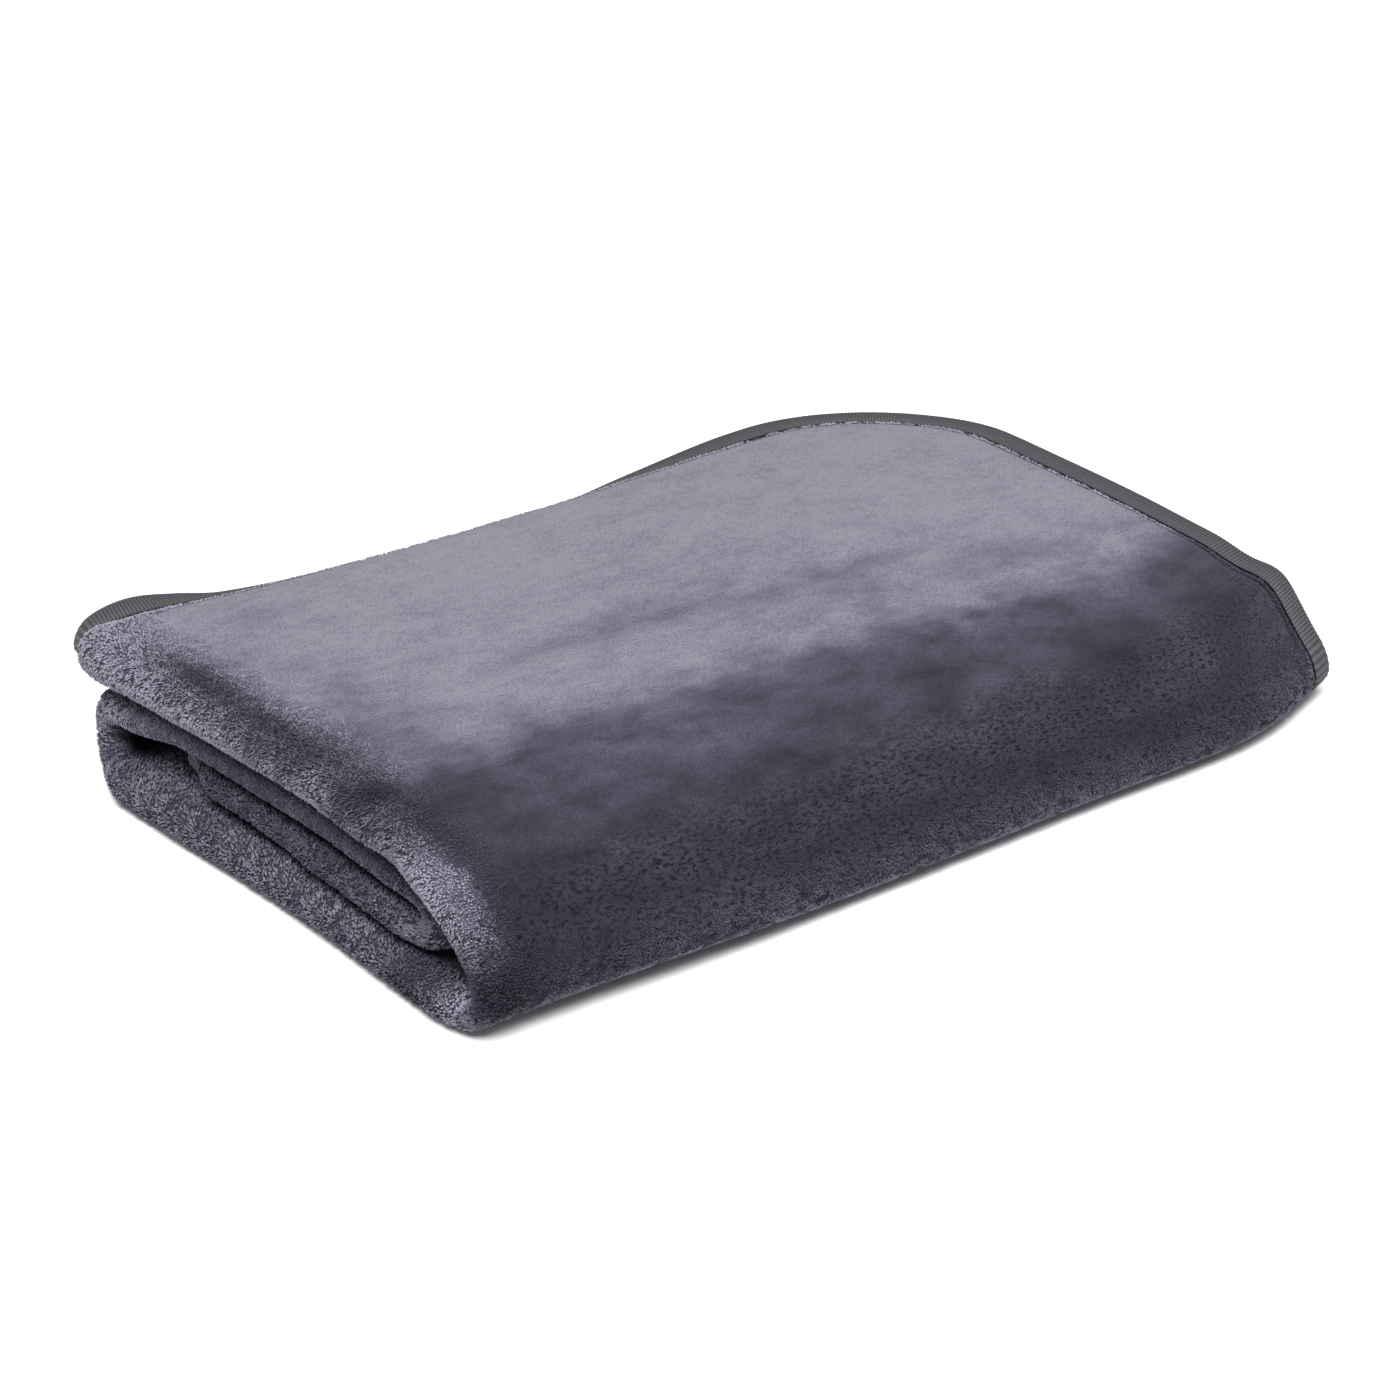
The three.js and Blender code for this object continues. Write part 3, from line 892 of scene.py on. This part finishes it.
def strand_mesh(name, root, tip, radius, tone):
    """Joined strands, each closed: a root, a waist of three points and a tip. There are too many
    for an operator each, so their points are worked out together."""
    count = len(root)
    axis = tip - root
    waist = root + WAIST_AT * axis
    axis /= np.linalg.norm(axis, axis=1, keepdims=True)
    side = np.cross(axis, np.array(SIDEWAYS))
    side /= np.linalg.norm(side, axis=1, keepdims=True)
    other = np.cross(axis, side)
    each = WAIST_POINTS + 2
    points = np.empty((count, each, 3))
    points[:, 0], points[:, -1] = root, tip
    for k in range(WAIST_POINTS):
        angle = 2 * math.pi * k / WAIST_POINTS
        out = side * math.cos(angle) + other * math.sin(angle)
        points[:, k + 1] = waist + radius[:, None] * out
    faces = np.array([(0, 2, 1), (0, 3, 2), (0, 1, 3), (1, 2, 4), (2, 3, 4), (3, 1, 4)])
    loops = (np.arange(count)[:, None, None] * each + faces).reshape(-1)
    mesh = bpy.data.meshes.new(name)
    mesh.vertices.add(count * each)
    set_points(mesh, points)
    mesh.loops.add(len(loops))
    mesh.loops.foreach_set("vertex_index", loops.astype(np.int32))
    mesh.polygons.add(count * len(faces))
    first_loops = np.arange(count * len(faces), dtype=np.int32) * 3
    mesh.polygons.foreach_set("loop_start", first_loops)
    mesh.update(calc_edges=True)
    shade_smooth(mesh)
    add_attribute(mesh, "tone", np.repeat(tone, each))
    # tip runs from 0 at the root to 1 at the tip, for the painted root shade and tip highlight
    add_attribute(mesh, "tip", np.tile([0] + [WAIST_TIP] * WAIST_POINTS + [1], count))
    return add_object(name, mesh)


def kept(chosen, *arrays):
    """Each array's chosen values."""
    return (values[chosen] for values in arrays)


def strand_places(zone, rng):
    """A jittered grid over a zone of the outer face, across and along."""
    pitch = zone["pitch"]
    around = np.arange(*zone["around"], pitch)
    places = even_along(*zone["along"], pitch)
    numbers = np.arange(len(places))
    around, number = (g.ravel() for g in np.meshgrid(around, numbers, indexing="ij"))
    around = around + rng.uniform(-JITTER, JITTER, len(around)) * pitch
    number = number + rng.uniform(-JITTER, JITTER, len(number))
    return lip_across(around), np.interp(number, numbers, places)


def clump(zone, across, along, seed):
    """How near each strand stands to a gap between clumps, from 0 to 1, the way out of the gap
    and whether it stands clear of the gap's middle."""
    wide, long = zone["reach"]
    pit_wide, pit_long = zone["pit"]
    slant = zone["slant"]

    def parting(a, b):
        u, v = (a + slant * b) / wide, (b - slant * a) / long
        return noise(u, v, 1, seed + SEEDS["parting"])

    value = parting(across, along)
    gap = np.abs(value)
    ahead = parting(across + PROBE, along) - value, parting(across, along + PROBE) - value
    away = np.stack(ahead, axis=-1) * np.sign(value)[:, None]
    away /= np.linalg.norm(away, axis=1, keepdims=True) + NOT_NOUGHT
    u, v = (across - slant * along) / pit_wide, (along + slant * across) / pit_long
    pit = smooth((noise(u, v, 1, seed + SEEDS["pit"]) - PIT_FROM) / PIT_RISE)
    near_gap = np.maximum(1 - smooth(gap / GAP_REACH), pit)
    return near_gap, away, gap > GAP_BARE


def hem_lean(across, along, edge, seed):
    """How far strands by the tape lean out over it."""
    ahead = edge_distance(across + PROBE, along) - edge, edge_distance(across, along + PROBE) - edge
    outwards = -np.stack(ahead, axis=-1) / PROBE
    wander = noise(across, along, HEM_LEAN_SCALE, seed + SEEDS["hem"])
    far = (HEM_LEAN + HEM_LEAN_WANDER * wander) * (1 - (edge - TAPE_WIDTH) / HEM_LEAN_DEPTH)
    return outwards * far[:, None]


def strand_tone(across, along, stand, near_gap, seed, rng):
    """How light strands look: as the plush's tone there, painted darker by a gap as shade between
    clumps, and lighter where tall.
    """
    # Painted shade between clumps: strands by a gap are darker
    dark = 1 - GAP_SHADE * near_gap**2
    tone = nap_and_light_tone(across, along) * dark * rng.normal(1, TONE_SPREAD, len(across))
    blotch = BLOTCH_STRENGTH * noise(across, along, BLOTCH_SCALE, seed + SEEDS["tone"])
    tone *= (STAND_TONE + STAND_TONE_RISE * smooth(stand / STAND_FULL)) * (1 + blotch)
    return np.clip(tone, 0, 1)


def add_pile(name, zone, material, seed):
    """A zone's strands, without those that would touch the floor."""
    rng = np.random.default_rng(seed)
    hem = name == "pile_hem"
    across, along = strand_places(zone, rng)
    edge = edge_distance(across, along)
    stand = pile_height(across, along, edge)
    drawn = (edge > TAPE_WIDTH + CLEAR_OF_TAPE) & (stand > LEAST_STAND)
    if hem:
        drawn &= edge < TAPE_WIDTH + HEM_PILE_WIDTH
    across, along, edge, stand = kept(drawn, across, along, edge, stand)
    near_gap, away, clear = clump(zone, across, along, seed)
    across, along, edge, stand, near_gap, away = kept(
        clear, across, along, edge, stand, near_gap, away
    )
    count = len(across)
    height = stand * rng.uniform(*HEIGHT_SPREAD, count) * (1 - GAP_LOWER * near_gap)
    turn = clouds(across, along, TURN_SCALE, seed + SEEDS["turn"]) * TURN_WANDER
    turn = turn + rng.normal(zone["combed"], TURN_SPREAD, count)
    lean = np.stack([np.sin(turn), np.cos(turn)], axis=-1) * (LEAN_SHARE * height)[:, None]
    lean += away * (GAP_LEAN * near_gap)[:, None]
    if hem:
        lean += hem_lean(across, along, edge, seed)
        height *= HEM_TALLER
    off = surface(across, along)
    start = fold(across, along, off - ROOT_SUNK)
    end = fold(across + lean[:, 0], along + lean[:, 1], off + height)
    off_floor = np.minimum(start[:, 2], end[:, 2]) > FLOOR_CLEAR
    across, along, stand, near_gap, start, end = kept(
        off_floor, across, along, stand, near_gap, start, end
    )
    radius = STRAND_RADIUS * zone["pitch"] * rng.uniform(*RADIUS_SPREAD, len(across))
    tone = strand_tone(across, along, stand, near_gap, seed, rng)
    piece = strand_mesh(name, place(start), place(end), radius * MM, tone)
    piece.data.materials.append(material)
    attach(piece, "root")
    return piece


# Materials


def linear(value):
    """An sRGB hex colour as linear red, green, blue and alpha."""
    channels = [int(value[i : i + 2], 16) / 255 for i in (1, 3, 5)]
    return [c / 12.92 if c <= 0.04045 else ((c + 0.055) / 1.055) ** 2.4 for c in channels] + [1]


def add_node(tree, kind, links=(), **settings):
    """A shader node with its settings, its inputs set by name or linked from sockets."""
    node = tree.nodes.new("ShaderNode" + kind)
    inputs = settings.pop("inputs", {})
    for key, value in settings.items():
        setattr(node, key, value)
    for key, value in inputs.items():
        node.inputs[key].default_value = value
    for key, socket in dict(links).items():
        tree.links.new(socket, node.inputs[key])
    return node


def new_material(name):
    material = bpy.data.materials.new(name)
    material.use_nodes = True
    return material, material.node_tree, material.node_tree.nodes["Principled BSDF"]


PLUSH_DARK = "#12101a"
PLUSH_MIDDLE = "#4f4b5a"
PLUSH_MIDDLE_AT = 0.35
PLUSH_LIGHT = "#7f7c88"
# the pile's lightest colour, lighter than the cloth's: a painted highlight on the tips
PLUSH_TIP_HIGHLIGHT = "#928e9d"
PLUSH_SHEEN = "#c9c6d6"
# the tape's colour in the grooves between its ribs: painted shade
TAPE_GROOVE_SHADE = "#2d2e31"
TAPE_CREST = "#6b6c70"
WHITE = "#ffffff"

# Sizes of the patterns, in millimetres
GRAIN = 0.65  # fibre ends, really about 0.02, drawn as coarse as they need to show
MOTTLE = 4  # uneven shearing
BRUSHED = 11  # strokes that a hand has left in the nap
CLUMP = 1.1  # clumps of crimped pile, with cracks between them
YARN = 0.7  # the tape's yarns, really about 0.2, drawn as coarse as they need to show

# Scales of the patterns across and along the blanket. Below 1 a pattern is drawn out that way:
# with the nap, or along the strokes and the cracks.
NAP_STRETCH = (1, 0.55, 1)
STROKE_STRETCH = (0.5, 1, 1)
CRACK_STRETCH = (0.5, 1, 1)


def per_metre(size):
    """A noise texture's scale for features of a size in millimetres."""
    return 1 / (size * MM)


def finish_plush(shader):
    """Polyester fibres standing on end: matt, with a soft sheen where they are seen at a slant."""
    shader.inputs["Roughness"].default_value = 0.9
    shader.inputs["Specular IOR Level"].default_value = 0.12
    shader.inputs["Sheen Weight"].default_value = 0.15
    shader.inputs["Sheen Roughness"].default_value = 0.5
    shader.inputs["Sheen Tint"].default_value = linear(PLUSH_SHEEN)


def plush_colour(tree, share, light):
    """The plush's colour from how light its nap looks."""
    colour = add_node(tree, "ValToRGB", {"Fac": share})
    stops = colour.color_ramp.elements
    stops.new(PLUSH_MIDDLE_AT)
    for stop, value in zip(stops, (PLUSH_DARK, PLUSH_MIDDLE, light)):
        stop.color = linear(value)
    return colour.outputs["Color"]


def grain_over_mottle(tree, flat):
    """The velvety grain of the cut fibres, and it with the mottle as a factor round 1."""
    nap = add_node(tree, "Mapping", {"Vector": flat}, inputs={"Scale": NAP_STRETCH})
    grain = add_node(
        tree, "TexNoise", {"Vector": nap.outputs["Vector"]},
        inputs={"Scale": per_metre(GRAIN), "Detail": 2},
    )
    mottle = add_node(
        tree, "TexNoise", {"Vector": flat},
        inputs={"Scale": per_metre(MOTTLE), "Detail": 3},
    )
    uneven = add_node(
        tree, "Math", {0: grain.outputs["Fac"], 2: mottle.outputs["Fac"]},
        operation="MULTIPLY_ADD", inputs={1: 2.5},
    )
    factor = add_node(
        tree, "MapRange", {"Value": uneven.outputs[0]},
        inputs={"From Min": 1.1, "From Max": 2.4, "To Min": 0.6, "To Max": 1.4},
    )
    return grain.outputs["Fac"], factor.outputs["Result"]


def brushed_tone(tree, flat):
    """The lightness of the nap and of its painted shade and light, with ragged strokes where light
    meets dark. They swing it most at the middle tones."""
    tone = add_node(tree, "Attribute", attribute_name="tone").outputs["Fac"]
    stroke = add_node(tree, "Mapping", {"Vector": flat}, inputs={"Scale": STROKE_STRETCH})
    brushed = add_node(
        tree, "TexNoise", {"Vector": stroke.outputs["Vector"]},
        inputs={"Scale": per_metre(BRUSHED), "Detail": 3, "Roughness": 0.55, "Distortion": 0.2},
    )
    swing = add_node(
        tree, "MapRange", {"Value": brushed.outputs["Fac"]},
        inputs={"From Min": 0.3, "From Max": 0.7, "To Min": -0.42, "To Max": 0.42},
    )
    dark = add_node(tree, "Math", {1: tone}, operation="SUBTRACT", inputs={0: 1.14})
    between = add_node(tree, "Math", {0: tone, 1: dark.outputs[0]}, operation="MULTIPLY")
    ragged = add_node(
        tree, "Math", {0: swing.outputs["Result"], 1: between.outputs[0], 2: tone},
        operation="MULTIPLY_ADD", use_clamp=True,
    )
    return ragged.outputs[0]


def crimp_cracks(tree, flat):
    """How dark the cracks between clumps of crimped pile are, painted as shade and sunk in the
    bump, and below nought on the clumps.
    """
    crinkle = add_node(tree, "Mapping", {"Vector": flat}, inputs={"Scale": CRACK_STRETCH})
    clumps = add_node(
        tree, "TexNoise", {"Vector": crinkle.outputs["Vector"]},
        inputs={"Scale": per_metre(CLUMP), "Detail": 3, "Roughness": 0.6, "Distortion": 0.6},
    )
    between = add_node(
        tree, "MapRange", {"Value": clumps.outputs["Fac"]},
        inputs={"From Min": 0.41, "From Max": 0.53, "To Min": 1, "To Max": -0.2},
    )
    crimped = add_node(tree, "Attribute", attribute_name="crimp")
    crack = add_node(
        tree, "Math", {0: between.outputs["Result"], 1: crimped.outputs["Fac"]},
        operation="MULTIPLY",
    )
    return crack.outputs[0]


def sheared_plush():
    """Polyester plush, dyed and sheared. It gives the eye a matt velvety face, pale where the nap
    lies away and nearly black where it stands, with soft borders and fine cracks where crimped.
    Part of the dark is painted shade, on the front fold, under standing pile and in the cracks,
    and the low rim's lightness is painted light."""
    material, tree, shader = new_material("sheared polyester plush")
    flat = add_node(tree, "UVMap", uv_map="flat").outputs["UV"]
    grain, uneven = grain_over_mottle(tree, flat)
    light = brushed_tone(tree, flat)
    crack = crimp_cracks(tree, flat)
    # Painted shade in the cracks, a little lighter on the clumps
    crack_shade = add_node(tree, "Math", {1: crack}, operation="SUBTRACT", inputs={0: 1})
    # Painted shade under standing pile: the cloth darkens where its pile stands tall
    pile = add_node(tree, "Attribute", attribute_name="pile")
    shade_under_pile = add_node(
        tree, "MapRange", {"Value": pile.outputs["Fac"]},
        inputs={"From Min": 0.6, "From Max": 1.2, "To Min": 1, "To Max": 0.5},
    )
    for factor in (shade_under_pile.outputs["Result"], crack_shade.outputs[0]):
        product = add_node(tree, "Math", {0: light, 1: factor}, operation="MULTIPLY")
        light = product.outputs[0]
    share = add_node(
        tree, "Math", {0: light, 1: uneven}, operation="MULTIPLY", use_clamp=True
    )
    relief = add_node(tree, "Math", {0: grain, 1: crack}, operation="SUBTRACT")
    bump = add_node(
        tree, "Bump", {"Height": relief.outputs[0]},
        inputs={"Strength": 0.6, "Distance": 0.0006},
    )
    tree.links.new(plush_colour(tree, share.outputs[0], PLUSH_LIGHT), shader.inputs["Base Color"])
    tree.links.new(bump.outputs["Normal"], shader.inputs["Normal"])
    finish_plush(shader)
    return material


def standing_pile():
    """The same plush where its fibres stand. They give the eye a furry edge, painted dark at the
    roots as shade deep in the pile and lighter at the cut tips as a painted highlight."""
    material, tree, shader = new_material("polyester plush pile")
    tone = add_node(tree, "Attribute", attribute_name="tone")
    tip = add_node(tree, "Attribute", attribute_name="tip")
    # Painted shade at the roots and a painted highlight at the tips
    shade = add_node(
        tree, "MapRange", {"Value": tip.outputs["Fac"]},
        inputs={"To Min": 0.4, "To Max": 1.35},
    )
    share = add_node(
        tree, "Math", {0: tone.outputs["Fac"], 1: shade.outputs["Result"]},
        operation="MULTIPLY", use_clamp=True,
    )
    tree.links.new(plush_colour(tree, share.outputs[0], PLUSH_TIP_HIGHLIGHT), shader.inputs["Base Color"])
    finish_plush(shader)
    return material


def ribbed_tape():
    """Ribbed polyester tape, woven. It gives the eye a firm dull grey edge, striped by its ribs,
    with the grooves between them painted dark as shade."""
    material, tree, shader = new_material("ribbed polyester tape")
    rib = add_node(tree, "Attribute", attribute_name="rib")
    flat = add_node(tree, "UVMap", uv_map="flat")
    yarn = add_node(
        tree, "TexNoise", {"Vector": flat.outputs["UV"]},
        inputs={"Scale": per_metre(YARN), "Detail": 2},
    )
    share = add_node(
        tree, "Math", {0: rib.outputs["Fac"], 1: yarn.outputs["Fac"]},
        operation="MULTIPLY", use_clamp=True,
    )
    colour = add_node(tree, "Mix", {"Factor": share.outputs[0]}, data_type="RGBA")
    colour.inputs["A"].default_value = linear(TAPE_GROOVE_SHADE)
    colour.inputs["B"].default_value = linear(TAPE_CREST)
    tree.links.new(colour.outputs["Result"], shader.inputs["Base Color"])
    shader.inputs["Roughness"].default_value = 0.75
    shader.inputs["Specular IOR Level"].default_value = 0.3
    return material


# The studio

FLOOR_HALF = 12  # metres
WORLD_STRENGTH = 0.34
SOFTBOX = {"watts": 560, "at": (-2.05, -2.5, 5.05), "size": 2.7}


def add_floor():
    """White paper, so flat and dull that only the blanket's shadow shows on it."""
    bm = bmesh.new()
    bmesh.ops.create_grid(bm, x_segments=1, y_segments=1, size=FLOOR_HALF)
    floor = new_object("floor", bm)
    material, _, shader = new_material("white paper sweep")
    shader.inputs["Base Color"].default_value = linear(WHITE)
    shader.inputs["Roughness"].default_value = 1
    floor.data.materials.append(material)
    floor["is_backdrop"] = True


def add_softbox():
    """One large soft light over the lip and the front, aimed at the blanket."""
    data = bpy.data.lights.new("softbox", "AREA")
    data.energy = SOFTBOX["watts"]
    data.size = SOFTBOX["size"]
    light = add_object("softbox", data)
    light.location = SOFTBOX["at"]
    light.rotation_euler = (-Vector(SOFTBOX["at"])).to_track_quat("-Z", "Y").to_euler()


def add_world():
    scene = bpy.context.scene
    scene.view_settings.view_transform = "Standard"
    world = bpy.data.worlds.new("studio")
    world.use_nodes = True
    background = world.node_tree.nodes["Background"]
    background.inputs["Color"].default_value = linear(WHITE)
    background.inputs["Strength"].default_value = WORLD_STRENGTH
    scene.world = world


add_camera()
plush = sheared_plush()
pile = standing_pile()
cloth = add_cloth(plush)
binding = add_binding(ribbed_tape())
for number, (name, zone) in enumerate(PILE.items()):
    add_pile(name, zone, pile, PILE_SEED + number * PILE_SEED_STEP)
add_floor()
add_softbox()
add_world()
